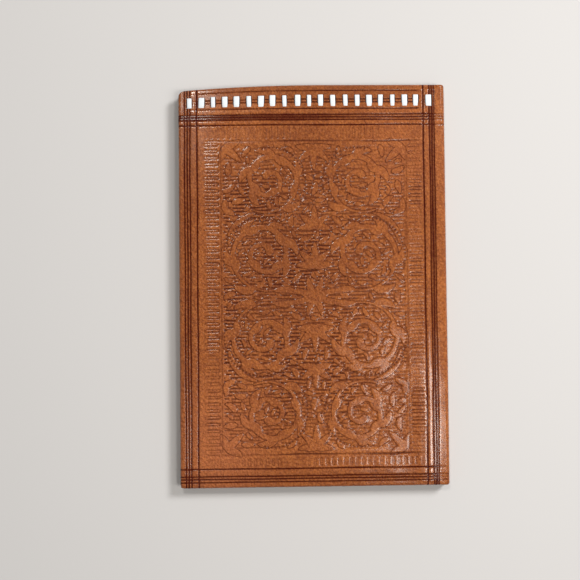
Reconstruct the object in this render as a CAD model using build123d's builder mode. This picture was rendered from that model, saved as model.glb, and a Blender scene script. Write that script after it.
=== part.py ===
from build123d import *
import os
from math import pi

os.makedirs("parts", exist_ok=True)

# A closed leather cover for a pocket notebook, empty and lying on its back. Sizes in mm.
# +X is the spine side, +Y the laced edge, +Z up. The origin is the middle of the face it lies on.
cover_width = 99.0
cover_height = 148.5

# Layers of one side of the cover, from the outside in.
leather_t = 0.9
stiffener_t = 0.5
hem_t = 0.5
lining_t = 0.3
pocket_slot = 0.25
pocket_t = 0.5
half_closed_gap = 0.15

# Leather: the turned-in hem, the rounded corners and edges, and the bend at each fold.
hem_width = 9.0
corner_r = 1.5
outer_edge_r = 0.7
hem_edge_r = 0.2
fold_r = 1.5

# Lining and pocket: how far each stays inside the piece around it.
seat = 0.02
lining_inset = 2.0
pocket_inset = 2.2
pocket_rim = 2.3
pocket_width = 58.0
pocket_edge_r = 0.2

# Lace: one flat band that goes out and in through slits along the top edge.
stitch_count = 21
stitch_pitch = 4.44
first_stitch_from_edge = 4.0
stitch_length = 2.0
lace_width = 4.1
lace_t = 0.35
lace_from_edge = 5.95
lace_sunk = 0.05
lace_play = 0.05
lace_tail = 3.0
stiffener_short_of_lace = 0.4

# Lining at the folds.
spine_lining_margin = 0.4
lining_fold_gap = 0.5

# Levels above the outer face of either side.
stiffener_z = leather_t
hem_z = stiffener_z + stiffener_t
lining_z = hem_z + hem_t
slot_z = lining_z + lining_t
pocket_z = slot_z + pocket_slot
middle_z = pocket_z + pocket_t + half_closed_gap
thickness = 2 * middle_z

half_width = cover_width / 2
half_height = cover_height / 2
fold_x = half_width - fold_r
spine_flat = thickness - 2 * fold_r

# Fold axes: the bend keeps the leather's length between closed and open flat.
bend_length = (fold_r - leather_t / 2) * pi / 2
fold_axis_inset = fold_r - bend_length / 2
print("fold axis inset", round(fold_axis_inset, 4), "thickness", round(thickness, 4))

# Both sides are laid out from their own outer face inwards. On the front the face looks up, so
# its sketch is turned over and the laced edge is at the sketch's -Y.
back_face = Plane.XY
front_face = Plane((0, 0, thickness), x_dir=(1, 0, 0), z_dir=(0, 0, -1))

for side, face, laced in (("back", back_face, 1), ("front", front_face, -1)):
    face_z = face.origin.Z
    inwards = face.z_dir.Z
    lace_y = laced * (half_height - lace_from_edge)
    first_stitch_x = first_stitch_from_edge - half_width
    stitches = [first_stitch_x + i * stitch_pitch for i in range(stitch_count)]
    legs = ((lace_t - stitch_length) / 2, (stitch_length - lace_t) / 2)

    # Outer leather: skin, three wrapped edges and the hem turned in over the stiffener.
    with BuildPart() as leather:
        with BuildSketch(face):
            with Locations((fold_x, 0)):
                Rectangle(fold_x + half_width, cover_height, align=(Align.MAX, Align.CENTER))
        extrude(amount=lining_z)
        fillet(leather.edges().filter_by(Axis.Z).group_by(Axis.X)[0], corner_r)
        flats = leather.faces().filter_by(Axis.Z).sort_by(Axis.Z)
        outside = flats[0] if side == "back" else flats[-1]
        inside = flats[-1] if side == "back" else flats[0]
        fillet(outside.edges().sort_by(Axis.X)[:-1], outer_edge_r)
        fillet(inside.edges().sort_by(Axis.X)[:-1], hem_edge_r)
        with BuildSketch(face.offset(stiffener_z)):
            with Locations((fold_x, 0)):
                Rectangle(
                    fold_x + half_width - leather_t,
                    cover_height - 2 * leather_t,
                    align=(Align.MAX, Align.CENTER),
                )
        extrude(amount=stiffener_t, mode=Mode.SUBTRACT)
        with BuildSketch(face.offset(hem_z)):
            with Locations((fold_x, 0)):
                Rectangle(
                    fold_x + half_width - hem_width,
                    cover_height - 2 * hem_width,
                    align=(Align.MAX, Align.CENTER),
                )
        extrude(amount=hem_t, mode=Mode.SUBTRACT)
        # Each visible stitch lies in a shallow press mark, with a slit at both of its ends.
        with BuildSketch(face):
            with Locations(*[(x, lace_y) for x in stitches]):
                Rectangle(stitch_length + 2 * lace_play, lace_width + 2 * lace_play)
        extrude(amount=lace_sunk + lace_t + lace_play, mode=Mode.SUBTRACT)
        with BuildSketch(face):
            with Locations(*[(x + leg, lace_y) for x in stitches for leg in legs]):
                Rectangle(lace_t + 2 * lace_play, lace_width + 2 * lace_play)
        extrude(amount=leather_t, mode=Mode.SUBTRACT)
    leather.part.label = side + "_leather"
    export_step(leather.part, "parts/" + side + "_leather.step")

    # Stiffener card between leather and lining. It stops short of the lace's hidden runs.
    stiffener_top = half_height - lace_from_edge - lace_width / 2 - stiffener_short_of_lace
    stiffener_bottom = half_height - leather_t - seat
    with BuildPart() as stiffener:
        with BuildSketch(face.offset(stiffener_z + seat)):
            with Locations((fold_x - seat, laced * (stiffener_top - stiffener_bottom) / 2)):
                Rectangle(
                    fold_x + half_width - leather_t - 2 * seat,
                    stiffener_top + stiffener_bottom,
                    align=(Align.MAX, Align.CENTER),
                )
        extrude(amount=stiffener_t - 2 * seat)
    stiffener.part.label = side + "_stiffener"
    export_step(stiffener.part, "parts/" + side + "_stiffener.step")

    # Lining: lies on the stiffener in the middle and steps up over the hem around it.
    lining_right = fold_x - lining_fold_gap
    with BuildPart() as lining:
        with BuildSketch(face.offset(lining_z + seat)):
            with Locations((lining_right, 0)):
                Rectangle(
                    lining_right + half_width - lining_inset,
                    cover_height - 2 * lining_inset,
                    align=(Align.MAX, Align.CENTER),
                )
        extrude(amount=lining_t - seat)
        with BuildSketch(face.offset(hem_z + seat)):
            with Locations((lining_right, 0)):
                Rectangle(
                    lining_right + half_width - hem_width - seat,
                    cover_height - 2 * (hem_width + seat),
                    align=(Align.MAX, Align.CENTER),
                )
        extrude(amount=hem_t + lining_t - seat)
        with BuildSketch(face.offset(hem_z + lining_t)):
            with Locations((lining_right, 0)):
                Rectangle(
                    lining_right + half_width - hem_width - lining_t,
                    cover_height - 2 * (hem_width + lining_t),
                    align=(Align.MAX, Align.CENTER),
                )
        extrude(amount=hem_t + lining_t, mode=Mode.SUBTRACT)
    lining.part.label = side + "_lining"
    export_step(lining.part, "parts/" + side + "_lining.step")

    # Pocket: joined to the lining along three edges and open towards the spine.
    with BuildPart() as pocket:
        with BuildSketch(face.offset(slot_z)):
            with Locations((pocket_inset - half_width, 0)):
                Rectangle(
                    pocket_width,
                    cover_height - 2 * pocket_inset,
                    align=(Align.MIN, Align.CENTER),
                )
        extrude(amount=pocket_slot + pocket_t)
        fillet(pocket.edges().filter_by(Axis.Z).group_by(Axis.X)[0], corner_r)
        flats = pocket.faces().filter_by(Axis.Z).sort_by(Axis.Z)
        inside = flats[-1] if side == "back" else flats[0]
        fillet(inside.edges(), pocket_edge_r)
        with BuildSketch(face.offset(slot_z)):
            with Locations((pocket_inset + pocket_rim - half_width, 0)):
                Rectangle(
                    pocket_width,
                    cover_height - 2 * (pocket_inset + pocket_rim),
                    align=(Align.MIN, Align.CENTER),
                )
        extrude(amount=pocket_slot, mode=Mode.SUBTRACT)
    pocket.part.label = side + "_pocket"
    export_step(pocket.part, "parts/" + side + "_pocket.step")

    # Lace: outer runs in the press marks, inner runs under the leather, a leg in every slit.
    outer_run_z = face_z + inwards * (lace_sunk + lace_t / 2)
    inner_run_z = face_z + inwards * (leather_t + lace_play + lace_t / 2)
    with BuildPart() as lace:
        with BuildSketch(Plane.XZ.offset(lace_from_edge - half_height)):
            with Locations(*[(x, outer_run_z) for x in stitches]):
                Rectangle(stitch_length, lace_t)
            with Locations(*[(x + leg, (outer_run_z + inner_run_z) / 2) for x in stitches for leg in legs]):
                Rectangle(lace_t, leather_t + lace_play - lace_sunk + lace_t)
            with Locations(*[(x + stitch_pitch / 2, inner_run_z) for x in stitches[:-1]]):
                Rectangle(stitch_pitch - stitch_length + 2 * lace_t, lace_t)
            with Locations((stitches[-1] + legs[-1] + lace_tail / 2, inner_run_z)):
                Rectangle(lace_tail, lace_t)
        extrude(amount=lace_width / 2, both=True)
    lace.part.label = side + "_lace"
    export_step(lace.part, "parts/" + side + "_lace.step")

# Spine of the outer leather, between its two bends, with the hem turned in at both ends.
with BuildPart() as spine_leather:
    with BuildSketch(Plane.XY.offset(fold_r)):
        with Locations((half_width, 0)):
            Rectangle(leather_t, cover_height, align=(Align.MAX, Align.CENTER))
        with Locations(
            (half_width - leather_t, half_height - hem_width / 2),
            (half_width - leather_t, hem_width / 2 - half_height),
        ):
            Rectangle(hem_t, hem_width, align=(Align.MAX, Align.CENTER))
    extrude(amount=spine_flat)
    fillet(spine_leather.edges().filter_by(Axis.Z).group_by(Axis.X)[-1], outer_edge_r)
spine_leather.part.label = "spine_leather"
export_step(spine_leather.part, "parts/spine_leather.step")

# Spine of the lining, stepped over the hem at both ends.
lining_top_x = half_width - leather_t - seat
step_y = half_height - hem_width - seat
lining_end_y = half_height - lining_inset
with BuildPart() as spine_lining:
    with BuildSketch(Plane.XY.offset(fold_r + spine_lining_margin)):
        with Locations((lining_top_x, 0)):
            Rectangle(lining_t, 2 * step_y, align=(Align.MAX, Align.CENTER))
        for end in (-1, 1):
            with Locations((lining_top_x, end * (step_y - lining_t / 2))):
                Rectangle(hem_t + lining_t, lining_t, align=(Align.MAX, Align.CENTER))
            with Locations((lining_top_x - hem_t, end * (step_y - lining_t + lining_end_y) / 2)):
                Rectangle(lining_t, lining_end_y - step_y + lining_t, align=(Align.MAX, Align.CENTER))
    extrude(amount=spine_flat - 2 * spine_lining_margin)
spine_lining.part.label = "spine_lining"
export_step(spine_lining.part, "parts/spine_lining.step")
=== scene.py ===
import math

import bpy
import numpy as np
from mathutils import Euler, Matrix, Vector


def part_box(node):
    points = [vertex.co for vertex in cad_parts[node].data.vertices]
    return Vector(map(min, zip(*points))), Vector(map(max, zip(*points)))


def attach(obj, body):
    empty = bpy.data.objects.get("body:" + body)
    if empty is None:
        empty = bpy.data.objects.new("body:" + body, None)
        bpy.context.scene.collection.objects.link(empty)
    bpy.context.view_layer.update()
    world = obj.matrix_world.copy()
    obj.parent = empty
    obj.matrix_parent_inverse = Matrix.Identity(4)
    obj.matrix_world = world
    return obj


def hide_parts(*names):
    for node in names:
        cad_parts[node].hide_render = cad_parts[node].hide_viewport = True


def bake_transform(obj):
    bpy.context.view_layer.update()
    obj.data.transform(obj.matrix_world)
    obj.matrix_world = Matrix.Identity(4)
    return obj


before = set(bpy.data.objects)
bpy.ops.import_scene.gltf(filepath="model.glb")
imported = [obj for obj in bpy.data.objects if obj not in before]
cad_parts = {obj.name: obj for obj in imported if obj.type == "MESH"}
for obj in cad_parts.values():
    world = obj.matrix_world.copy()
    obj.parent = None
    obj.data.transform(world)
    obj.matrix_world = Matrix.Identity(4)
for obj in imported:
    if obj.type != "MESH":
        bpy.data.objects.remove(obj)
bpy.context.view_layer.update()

MM = 0.001

# -------- sizes from the frame, in mm
# +X is the spine side, +Y the laced edge and +Z up. Side 1 is the front, side -1 the back.
panel_lo, panel_hi = (np.array(c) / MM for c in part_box("front_leather"))
spine_hi = np.array(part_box("spine_leather")[1]) / MM
LEFT, RIGHT = panel_lo[0], spine_hi[0]
TOP, BOTTOM = panel_hi[1], panel_lo[1]
THICK = panel_hi[2]
MIDDLE = THICK / 2
FOLD_X = panel_hi[0]
FOLD_R = RIGHT - FOLD_X
BEND = FOLD_R * math.pi / 2

# The outer leather, and its edge that is turned in around the board as a hem.
LEATHER_T = 0.9
HEM_D = panel_hi[2] - panel_lo[2]
HEM_T = 0.5
HEM_W = 9.0
SPINE_HEM_D = LEATHER_T + HEM_T
EDGE_R = HEM_D / 2
CORNER_TURN = 0.9

# The lace and its stitches.
LACE_Y = TOP - 5.95
STITCH_COUNT = 21
STITCH_PITCH = 4.44
FIRST_STITCH = LEFT + 4.0

# The laced corner at the fore edge has slumped and worn round.
DROOP = 2.3
DROOP_FROM_X = 4.0
DROOP_FADE = 8.0
CORNER_WEAR_R = 1.6


def smoothstep(lo, hi, v):
    t = np.clip((v - lo) / (hi - lo), 0, 1)
    return t * t * (3 - 2 * t)


def settle(x, y):
    """How far the slumped corner has moved each point, along Y and along X."""
    reach = np.clip((DROOP_FROM_X - x) / (DROOP_FROM_X - LEFT), 0, None)
    droop = DROOP * reach**2 * np.exp(-np.clip(TOP - y, 0, None) / DROOP_FADE)
    corner = np.exp(-((x - LEFT) ** 2 + (TOP - y) ** 2) / CORNER_WEAR_R**2)
    return -droop - 0.35 * corner, 0.45 * corner


def place(side, x, y, z):
    """Puts a point worked out for the front on its side of the cover."""
    down, across = settle(x, y)
    z = z if side > 0 else THICK - z
    return np.stack([x + across, y + down, z], -1)


# -------- the panel's ornament, in mm
# The tooled field, in panel coordinates. Its own y runs from the middle of the field.
FIELD_Y = -4.5
FIELD_HALF = 57.75
FIELD_LEFT, FIELD_RIGHT = -33.9, 34.6
FIELD_MID = (FIELD_LEFT + FIELD_RIGHT) / 2

# Distances to the ornament are kept in tables with this cell; CLEAR stands for far away.
CELL = 0.2
CLEAR = 6.0
field_x = np.arange(FIELD_LEFT - 1, FIELD_RIGHT + 1, CELL)
field_y = np.arange(-FIELD_HALF - 1, FIELD_HALF + 1, CELL)


def scroll(cx, cy, outer, inner, start, turns, width):
    """A spiral stroke that ends in a round bud: rows of x, y, width. Negative turns run clockwise."""
    t = np.linspace(0, 1, 320)
    r = outer + (inner - outer) * t**0.9
    a = start + 2 * math.pi * turns * t
    w = width * (0.35 + 0.65 * smoothstep(0, 0.3, t)) * (1 - 0.25 * t) + 1.3 * smoothstep(0.86, 1.0, t)
    return np.stack([cx + r * np.cos(a), cy + r * np.sin(a), w], -1)


def leaf_stroke(x, y, heading, length, bow, width):
    """A comma-shaped leaf from its root: rows of x, y, width. It turns by bow radians on the way."""
    t = np.linspace(0, 1, 30)
    a = heading + bow * t
    step = length / len(t)
    w = 0.3 + (width - 0.3) * np.sin(math.pi * t**0.75) ** 0.8
    return np.stack([x + np.cumsum(np.cos(a)) * step, y + np.cumsum(np.sin(a)) * step, w], -1)


def leaves_along(stem, places, lean, length, width):
    """Leaves that spring from a stem at the given fractions of it, leaning to one side."""
    leaves = []
    for fraction in places:
        k = int(fraction * (len(stem) - 2))
        dx, dy = stem[k + 1, :2] - stem[k, :2]
        heading = math.atan2(dy, dx) + lean
        leaves.append(leaf_stroke(stem[k, 0], stem[k, 1], heading, length, -1.5 * lean, width))
    return leaves


def fan(x, y, heading, spread, count, length, width):
    """A palmette: leaves that open evenly from one root, the middle one the longest."""
    leaves = []
    for k in range(count):
        off = 2 * k / (count - 1) - 1
        reach = length * (1 - 0.28 * abs(off))
        leaves.append(leaf_stroke(x, y, heading + off * spread, reach, off * 0.7, width))
    return leaves


# A quarter of the ornament, from the field's centre outwards and upwards; the rest mirrors it.
LOW_SCROLL = scroll(18.6, 15.8, 13.9, 2.3, math.radians(-105), 1.72, 2.1)
HIGH_SCROLL = scroll(16.6, 43.2, 12.6, 2.2, math.radians(-62), -1.66, 2.0)
QUARTER = [
    LOW_SCROLL,
    HIGH_SCROLL,
    leaf_stroke(31.6, 19.0, math.radians(92), 17.0, 1.35, 2.2),
    leaf_stroke(15.4, 2.3, math.radians(168), 11.0, 0.7, 2.3),
    *leaves_along(LOW_SCROLL, (0.05, 0.14, 0.40), -0.80, 8.4, 3.0),
    *leaves_along(LOW_SCROLL, (0.24, 0.33, 0.48), -0.75, 7.4, 2.7),
    *leaves_along(LOW_SCROLL, (0.12, 0.25, 0.37, 0.50, 0.63), 0.80, 6.4, 2.4),
    *leaves_along(HIGH_SCROLL, (0.09, 0.21, 0.33, 0.44, 0.54), 0.78, 7.6, 2.8),
    *leaves_along(HIGH_SCROLL, (0.14, 0.27, 0.40, 0.52, 0.64), -0.80, 6.0, 2.3),
    *fan(0.0, 10.6, math.radians(90), 1.10, 5, 9.6, 2.6),
    *fan(0.0, 25.4, math.radians(90), 1.30, 5, 8.4, 2.4),
    *fan(0.0, 56.0, math.radians(-90), 1.20, 5, 9.0, 2.4),
    *fan(33.0, 56.0, math.radians(-135), 0.80, 3, 8.6, 2.6),
    *fan(33.4, 32.0, math.radians(150), 0.60, 2, 6.0, 2.2),
    *[leaf_stroke(0.0, 0.0, math.radians(a), 7.6, 0.4, 2.4) for a in (12, 58)],
]
MIRRORS = [(across, up) for across in (-1.0, 1.0) for up in (-1.0, 1.0)]

# Rows of small punched dots run beside the scrolls.
DOT_GAP, DOT_R = 1.35, 0.36
DOT_ROWS = [
    scroll(18.6, 15.8, 15.4, 12.6, math.radians(-20), 0.42, 1.0),
    scroll(16.6, 43.2, 14.0, 11.8, math.radians(-150), -0.38, 1.0),
    scroll(0.0, 0.0, 8.6, 8.6, math.radians(28), 0.12, 1.0),
]

# Small curled leaves fill the ground wherever the drawn ones leave a bare patch.
FILLER_COUNT = 150
FILLER_ROOM = 2.0
FILLER_MAX = 5.0
FILLER_HALF_W, FILLER_HALF_H = 31.5, 54.0


def mirrored(stroke, across, up):
    """One of the four copies of a stroke of the quarter, in field coordinates."""
    return stroke * (across, up, 1.0) + (FIELD_MID, 0.0, 0.0)


def stamp(target, cx, cy, radius):
    """Lowers target to the signed distance from one round dab."""
    x0, x1 = np.searchsorted(field_x, (cx - radius - CLEAR, cx + radius + CLEAR))
    y0, y1 = np.searchsorted(field_y, (cy - radius - CLEAR, cy + radius + CLEAR))
    if x1 > x0 and y1 > y0:
        d = np.hypot(field_x[None, x0:x1] - cx, field_y[y0:y1, None] - cy) - radius
        np.minimum(target[y0:y1, x0:x1], d, out=target[y0:y1, x0:x1])


def stamp_stroke(target, stroke):
    for x, y, w in stroke:
        stamp(target, x, y, w / 2)


def add_fillers(target):
    """Curled leaves in the largest bare patches, one after another."""
    rng = np.random.default_rng(7)
    off_middle = np.abs(field_x[None] - FIELD_MID)
    past_edge = np.maximum(off_middle - FILLER_HALF_W, np.abs(field_y[:, None]) - FILLER_HALF_H)
    for _ in range(FILLER_COUNT):
        room = np.where(past_edge < 0, target, -1)
        j, i = np.unravel_index(np.argmax(room), room.shape)
        if room[j, i] < FILLER_ROOM:
            break
        length = min(room[j, i] * 1.35, FILLER_MAX)
        turn, bow = rng.uniform(0, 2 * math.pi), rng.uniform(-1.6, 1.6)
        x = field_x[i] - length / 2 * math.cos(turn + bow / 2)
        y = field_y[j] - length / 2 * math.sin(turn + bow / 2)
        stamp_stroke(target, leaf_stroke(x, y, turn, length, bow, 0.42 * length))


def ornament_table():
    """Signed distance to the nearest scroll or leaf over the field."""
    table = np.full((len(field_y), len(field_x)), CLEAR)
    for stroke in QUARTER:
        for across, up in MIRRORS:
            stamp_stroke(table, mirrored(stroke, across, up))
    add_fillers(table)
    return table


def dot_table():
    """Signed distance to the nearest punched dot over the field."""
    table = np.full((len(field_y), len(field_x)), CLEAR)
    for row in DOT_ROWS:
        for across, up in MIRRORS:
            line = mirrored(row, across, up)
            run = np.concatenate([[0], np.cumsum(np.hypot(*np.diff(line[:, :2], axis=0).T))])
            for at in np.arange(0, run[-1], DOT_GAP):
                stamp(table, np.interp(at, run, line[:, 0]), np.interp(at, run, line[:, 1]), DOT_R)
    return table


ornament_sd = ornament_table()
dot_sd = dot_table()


def lookup(table, x, y):
    """Bilinear reading of a field table at panel coordinates; outside the field it reads CLEAR."""
    fx = (x - field_x[0]) / CELL
    fy = (y - FIELD_Y - field_y[0]) / CELL
    inside = (fx >= 0) & (fy >= 0) & (fx < len(field_x) - 1) & (fy < len(field_y) - 1)
    fx, fy = np.clip(fx, 0, len(field_x) - 1.001), np.clip(fy, 0, len(field_y) - 1.001)
    i, j = fx.astype(int), fy.astype(int)
    a, b = fx - i, fy - j
    v = ((1 - a) * (1 - b) * table[j, i] + a * (1 - b) * table[j, i + 1]
         + (1 - a) * b * table[j + 1, i] + a * b * table[j + 1, i + 1])
    return np.where(inside, v, CLEAR)


# -------- marks in the leather, in mm
# Ruled lines: where each one runs, its half width and its strength.
UPRIGHT = [
    (LEFT + 2.2, 0.23, 1.0),
    (LEFT + 3.2, 0.25, 1.0),
    (LEFT + 4.2, 0.23, 1.0),
    (LEFT + 6.8, 0.28, 1.0),
    (RIGHT - 5.9, 0.24, 1.0),
    (RIGHT - 5.0, 0.26, 1.0),
    (RIGHT - 4.1, 0.22, 0.95),
    (RIGHT - 8.2, 0.29, 1.0),
]
LEVEL = [
    (BOTTOM + 2.1, 0.23, 0.95),
    (BOTTOM + 3.2, 0.27, 1.0),
    (BOTTOM + 4.2, 0.26, 1.0),
    (BOTTOM + 6.9, 0.27, 1.0),
    (TOP - 11.1, 0.26, 1.0),
    (TOP - 12.1, 0.27, 1.0),
    (TOP - 13.1, 0.26, 1.0),
    (TOP - 15.0, 0.27, 1.0),
]
THIN = [
    (TOP - 2.2, 0.16, 0.9),
    (TOP - 8.9, 0.18, 0.95),
    (LACE_Y + 0.55, 0.17, 1.0),
    (LACE_Y - 0.55, 0.17, 1.0),
]
RULED_DEPTH = 0.15

# Hatching of the field's ground, in rows broken into dashes.
HATCH_PITCH = 1.30
# Loops down both sides of the field: middle, side of the open ends, least strength and pitch.
LOOP_COLUMNS = [(-37.5, -1, 0.62, 2.45), (38.1, 1, 0.34, 2.66)]
LOOP_HALF_LENGTH = 2.7
LOOP_HALF_HEIGHT = 0.205  # of the pitch
# Notches above and below the field: lower end, upper end and strength.
NOTCH_ROWS = [(54.2, 58.4, 0.40), (-66.3, -63.7, 0.48)]
NOTCH_PITCH = 2.2
NOTCH_HALF_WIDTH = 0.5
# The field's frame: where each line runs and its strength.
FRAME_LEVEL = [(FIELD_Y + FIELD_HALF, 0.9), (FIELD_Y - FIELD_HALF, 1.0)]
FRAME_UPRIGHT = [(FIELD_LEFT, 0.55), (FIELD_RIGHT, 0.50)]

# Depths of the blind tooling: the ground around the leaves, and the deepest marks.
GROUND_DEPTH = 0.075
TOOL_DEPTH = 0.17
# The back rests on its face, so its stitches are let in.
LET_IN = 0.13

# Each side has its own wander, wear and clouds. The ruled lines have theirs, further on.
SEED = {1: 11, -1: 31}
RULED_SEED = 100
# The third plan number of the hem and the lining, which tells them from the tooled face at 0.
HEM_PLAN = 3


def drift(t, seed, size, wave):
    """A slow wander along t: no tool runs quite straight."""
    r = np.random.default_rng(seed)
    out = np.zeros_like(t, dtype=float)
    for k in (1.0, 2.3, 4.1):
        out += np.sin(t * 2 * math.pi * k / wave + r.uniform(0, 6.28)) / k
    return out * size * 0.6


def patchy(x, y, seed, size):
    """Slow blotches between 0 and 1."""
    r = np.random.default_rng(seed)
    out = np.zeros(np.broadcast(x, y).shape)
    for _ in range(7):
        a = r.uniform(0, 2 * math.pi)
        k = 2 * math.pi / (size * r.uniform(0.6, 1.6))
        out = out + np.sin((x * math.cos(a) + y * math.sin(a)) * k + r.uniform(0, 6.28))
    return 0.5 + 0.5 * np.tanh(out * 0.55)


def spot(x, y, cx, cy, rx, ry):
    """A soft round patch: 1 in its middle, fading outwards."""
    return np.exp(-(((x - cx) / rx) ** 2 + ((y - cy) / ry) ** 2))


def pressed(d, sharp, soft):
    """Strength of a pressed line from the distance to it: full within sharp, gone past soft."""
    return 1 - smoothstep(sharp, soft, d)


def ruled_line(d, half):
    return pressed(np.abs(d), half * 0.7, half + 0.14)


def stadium(dx, dy, half_len, half_h):
    """Signed distance to a bar with round ends that lies along dx."""
    return np.hypot(np.maximum(np.abs(dx) - (half_len - half_h), 0), dy) - half_h


def ruled(x, y, seed):
    """How much of the dark ruled lines is at each point, 0 to 1."""
    m = np.zeros(np.broadcast(x, y).shape)
    for k, (at, half, strength) in enumerate(UPRIGHT):
        worn = 0.90 + 0.10 * patchy(x * 0 + at, y, seed + 40 + k, 16)
        line = ruled_line(x - at - drift(y, seed + k, 0.09, 60), half)
        m = np.maximum(m, strength * worn * line)
    outside = 1 - 0.5 * smoothstep(RIGHT - 4.4, RIGHT - 3.4, x)
    for k, (at, half, strength) in enumerate(LEVEL):
        worn = (0.90 + 0.10 * patchy(x, y * 0 + at, seed + 60 + k, 14)) * outside
        line = ruled_line(y - at - drift(x, seed + 20 + k, 0.09, 50), half)
        m = np.maximum(m, strength * worn * line)
    span = smoothstep(LEFT + 3, LEFT + 9, x) * (1 - smoothstep(RIGHT - 10.5, RIGHT - 9.0, x))
    clear = smoothstep(-25, 10, x)
    for k, (at, half, strength) in enumerate(THIN):
        worn = (0.45 + 0.55 * patchy(x, y * 0 + at, seed + 80 + k, 12)) * (1 - clear) + clear
        line = ruled_line(y - at - drift(x, seed + 30 + k, 0.10, 40), half)
        m = np.maximum(m, strength * span * worn**0.5 * line)
    # Dye has run together between the three lines of the close sets above and at the spine.
    wide = 0.76 * ruled_line(y - TOP + 12.1, 0.95) * (1 - 0.75 * smoothstep(-8, 22, x)) * outside
    tall = 0.66 * ruled_line(x - RIGHT + 5.05, 0.85)
    tall = tall * (0.55 + 0.45 * patchy(x * 0, y, seed + 90, 40))
    return np.maximum(m, np.maximum(wide, tall))


def in_field(x, fy):
    """1 inside the tooled field, 0 outside."""
    inside = smoothstep(FIELD_LEFT + 0.3, FIELD_LEFT + 0.8, x)
    inside = inside * (1 - smoothstep(FIELD_RIGHT - 0.8, FIELD_RIGHT - 0.3, x))
    return inside * (1 - smoothstep(FIELD_HALF - 2.2, FIELD_HALF - 1.2, np.abs(fy)))


def hatch_rows(x, y, seed):
    """Phase of the hatching, one turn a row, and how strongly it is pressed where no leaf covers it."""
    fy = y - FIELD_Y
    phase = (y + drift(x, seed, 0.16, 34) + 0.5 * (patchy(x, y, seed + 1, 26) - 0.5)) / HATCH_PITCH
    # Scrambles the row's number, so that each row breaks into dashes at other places.
    shift = np.mod(np.sin(np.round(phase) * 12.9898) * 43758.5453, 1.0)
    runs = (np.sin(2 * math.pi * (x / 8.3 + shift))
            + 0.8 * np.sin(2 * math.pi * (x / 4.7 + 3.1 * shift))
            + 0.5 * np.sin(2 * math.pi * (x / 2.9 + 7.7 * shift)))
    dashes = smoothstep(-0.95, -0.60, runs)
    amount = (0.62 + 0.38 * patchy(x, y, seed + 3, 26)) * (1 - 0.45 * smoothstep(36, 54, np.abs(fy)))
    amount = amount * (1 - 0.34 * smoothstep(2, 26, x)) * dashes * in_field(x, fy)
    return phase, amount


def border_marks(x, y, seed):
    """Strength of the dots, loops, notches and frame lines, 0 to 1."""
    fy = y - FIELD_Y
    g = 0.9 * in_field(x, fy) * pressed(lookup(dot_sd, x, y), -0.05, 0.20)
    # The loops' closed ends are towards the middle.
    tall = pressed(np.abs(fy), FIELD_HALF - 1.5, FIELD_HALF - 0.5)
    for mid_x, out, least, pitch in LOOP_COLUMNS:
        row_y = np.round(fy / pitch) * pitch
        d = np.abs(stadium(x - mid_x, fy - row_y, LOOP_HALF_LENGTH, LOOP_HALF_HEIGHT * pitch))
        opened = 1 - 0.55 * smoothstep(1.4, 2.4, (x - mid_x) * out)
        wear = least + (1 - least) * patchy(x, y, seed + 5, 18)
        g = np.maximum(g, pressed(d, 0.09, 0.26) * opened * wear * tall)
    col_x = np.round(x / NOTCH_PITCH) * NOTCH_PITCH
    across = smoothstep(FIELD_LEFT - 6, FIELD_LEFT - 5, x)
    across = across * (1 - smoothstep(FIELD_RIGHT + 5, FIELD_RIGHT + 6, x))
    for lo, hi, strength in NOTCH_ROWS:
        d = np.abs(stadium(y - (lo + hi) / 2, x - col_x, (hi - lo) / 2, NOTCH_HALF_WIDTH))
        wear = 0.3 + 0.7 * patchy(x, y, seed + 6, 20)
        g = np.maximum(g, strength * across * wear * pressed(d, 0.12, 0.36))
    for at, strength in FRAME_LEVEL:
        d = np.abs(y - at - drift(x, seed + 9, 0.20, 45))
        wear = 0.35 + 0.65 * patchy(x, y * 0, seed + 11, 30)
        g = np.maximum(g, strength * across * wear * pressed(d, 0.16, 0.40))
    for at, strength in FRAME_UPRIGHT:
        d = np.abs(x - at - drift(y, seed + 13, 0.08, 40))
        g = np.maximum(g, strength * tall * pressed(d, 0.12, 0.34))
    return g


def tooling(x, y, seed):
    """The blind tooling at each point: distance to the leaves, hatching phase and amount, other marks."""
    rough_edge = 0.12 * (patchy(x, y, seed + 30, 3.4) - 0.5) * in_field(x, y - FIELD_Y)
    leaf = lookup(ornament_sd, x, y) + rough_edge
    phase, amount = hatch_rows(x, y, seed)
    return leaf, phase, amount, border_marks(x, y, seed)


def hatching(leaf, phase, amount):
    """Horizontal dashes that end round against the leaves."""
    wave = np.cos(2 * math.pi * phase)
    return amount * smoothstep(-0.40, 0.50, wave) * smoothstep(0.12, 0.34, leaf + 0.22 * wave)


def swelling(x, y, side):
    """How the leather stands up from its plain face before it is tooled."""
    if side < 0:
        return -LET_IN * (1 - smoothstep(2.3, 3.4, np.abs(y - LACE_Y)))
    seed = SEED[side]
    crown_x = (1 - (2 * x / (RIGHT - LEFT)) ** 2).clip(0)
    crown_y = (1 - (2 * y / (TOP - BOTTOM)) ** 2).clip(0)
    spine_roll = 0.30 * np.exp(-(((x - 43.0) / 5.5) ** 2)) - 0.20 * smoothstep(45.2, 49.0, x)
    waves = 0.12 * (patchy(x, y, seed + 21, 60) - 0.5) + 0.05 * (patchy(x, y, seed + 22, 14) - 0.5)
    return 0.22 * crown_x * crown_y**0.5 + spine_roll + waves


def relief(x, y, side):
    """Height of the leather above its plain face."""
    seed = SEED[side]
    leaf, phase, amount, marks = tooling(x, y, seed)
    ground = GROUND_DEPTH * smoothstep(-0.15, 0.25, leaf) * in_field(x, y - FIELD_Y)
    cut = TOOL_DEPTH * np.maximum(hatching(leaf, phase, amount), marks)
    return -ground + swelling(x, y, side) - cut - RULED_DEPTH * ruled(x, y, seed + RULED_SEED)


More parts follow.
